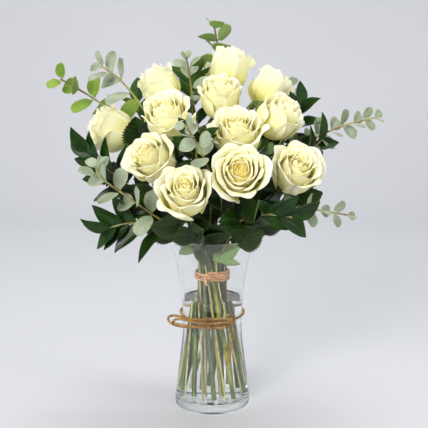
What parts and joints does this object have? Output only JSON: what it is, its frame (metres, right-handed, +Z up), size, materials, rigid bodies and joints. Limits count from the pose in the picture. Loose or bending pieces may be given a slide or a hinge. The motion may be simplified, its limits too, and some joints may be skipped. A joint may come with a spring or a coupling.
{
  "type": "vase of roses",
  "caption": "Hand-tied bunch of white roses with eucalyptus and dark foliage, standing in a waisted clear glass vase of water with a twine bow.",
  "frame": {"origin": "on the vase's axis, in the flat ring that it stands on", "axes": "+Z up the vase's axis, -Y out of the bouquet's front, +X to the right as seen from the front"},
  "size_m": [0.3718, 0.2616, 0.4429],
  "materials": {
    "glass": "clear polished soda glass",
    "water": "clear still water",
    "jute_twine": "three-ply natural jute, hairy, matt",
    "petals": "cream white petals, velvety, a little translucent, peach-yellow in the heart",
    "calyx": "fresh light green, satin",
    "rose_stem": "green stems with olive and brown patches, small thorns, dark glossy serrated leaves",
    "eucalyptus_leaf": "waxy grey-green bloom on round leaves, thin brown-green stems",
    "ruscus_leaf": "deep green, glossy, fine parallel veins"
  },
  "bodies": {
    "root": {"vase": "glass", "water": "water", "binding_twine": "jute_twine", "waist_twine": "jute_twine", "waist_twine_bow": "jute_twine", "waist_twine_knot": "jute_twine", "waist_twine_tail": "jute_twine", "rose_01_stem": "rose_stem", "rose_01_calyx": "calyx", "rose_01_bloom": "petals", "rose_02_stem": "rose_stem", "rose_02_calyx": "calyx", "rose_02_bloom": "petals", "rose_03_stem": "rose_stem", "rose_03_calyx": "calyx", "rose_03_bloom": "petals", "rose_04_stem": "rose_stem", "rose_04_calyx": "calyx", "rose_04_bloom": "petals", "rose_05_stem": "rose_stem", "rose_05_calyx": "calyx", "rose_05_bloom": "petals", "rose_06_stem": "rose_stem", "rose_06_calyx": "calyx", "rose_06_bloom": "petals", "rose_07_stem": "rose_stem", "rose_07_calyx": "calyx", "rose_07_bloom": "petals", "rose_08_stem": "rose_stem", "rose_08_calyx": "calyx", "rose_08_bloom": "petals", "rose_09_stem": "rose_stem", "rose_09_calyx": "calyx", "rose_09_bloom": "petals", "rose_10_stem": "rose_stem", "rose_10_calyx": "calyx", "rose_10_bloom": "petals", "rose_11_stem": "rose_stem", "rose_11_calyx": "calyx", "rose_11_bloom": "petals", "rose_12_stem": "rose_stem", "rose_12_calyx": "calyx", "rose_12_bloom": "petals", "eucalyptus_1": "eucalyptus_leaf", "eucalyptus_2": "eucalyptus_leaf", "eucalyptus_3": "eucalyptus_leaf", "eucalyptus_4": "eucalyptus_leaf", "eucalyptus_5": "eucalyptus_leaf", "eucalyptus_6": "eucalyptus_leaf", "eucalyptus_7": "eucalyptus_leaf", "eucalyptus_8": "eucalyptus_leaf", "eucalyptus_9": "eucalyptus_leaf", "ruscus_1": "ruscus_leaf", "ruscus_2": "ruscus_leaf", "ruscus_3": "ruscus_leaf", "ruscus_4": "ruscus_leaf", "ruscus_5": "ruscus_leaf", "ruscus_6": "ruscus_leaf", "ruscus_7": "ruscus_leaf", "ruscus_8": "ruscus_leaf"}
  },
  "joints": []
}
